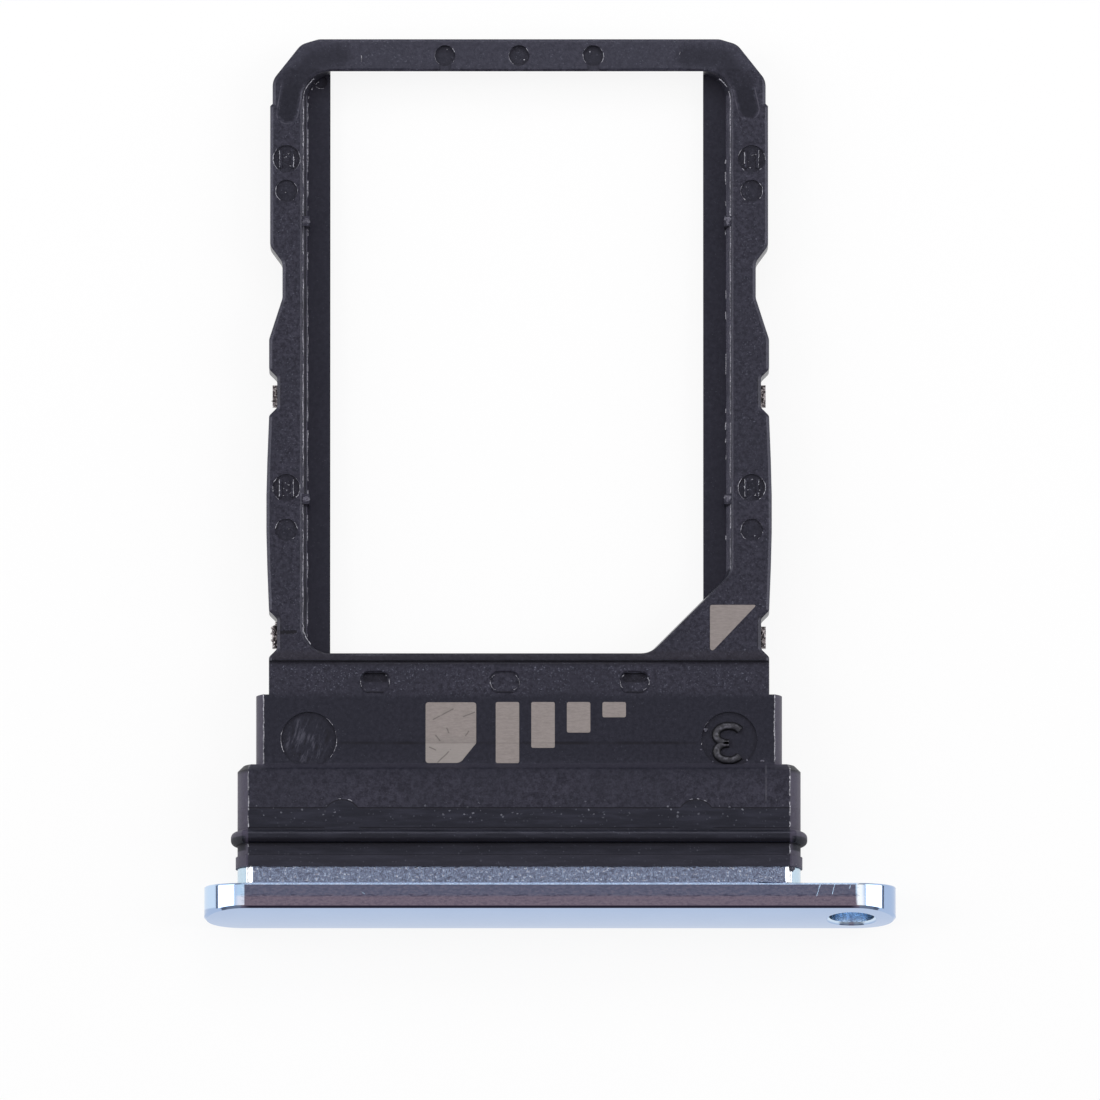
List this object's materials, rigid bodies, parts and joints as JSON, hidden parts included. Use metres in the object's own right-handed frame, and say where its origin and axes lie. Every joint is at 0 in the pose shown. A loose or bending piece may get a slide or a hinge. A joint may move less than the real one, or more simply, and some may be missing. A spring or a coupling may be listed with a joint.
{
  "type": "sim card tray",
  "caption": "Phone card tray: light-blue metal faceplate with pin hole, black moulded frame with card pocket, sealing sleeve and side detents.",
  "frame": {"origin": "middle of the tray's length and width, at the level of the faceplate's lower edge", "axes": "+Y into the phone, the way the tray is pushed in; +Z out of the pocket's open face; +X along the faceplate towards its pin hole"},
  "size_m": [0.0146, 0.0186, 0.0017],
  "materials": {
    "anodised": "light-blue anodised, fine blasted neck, bright flange",
    "carrier": "black glass-filled moulding, fine sparkle",
    "seal": "black silicone, satin",
    "sheet": "plain stamped sheet, dull broken ends",
    "print": "warm grey etched marking"
  },
  "bodies": {
    "root": {"faceplate": "anodised", "card_carrier": "carrier", "seal": "seal", "stiffener": "sheet"}
  },
  "joints": []
}
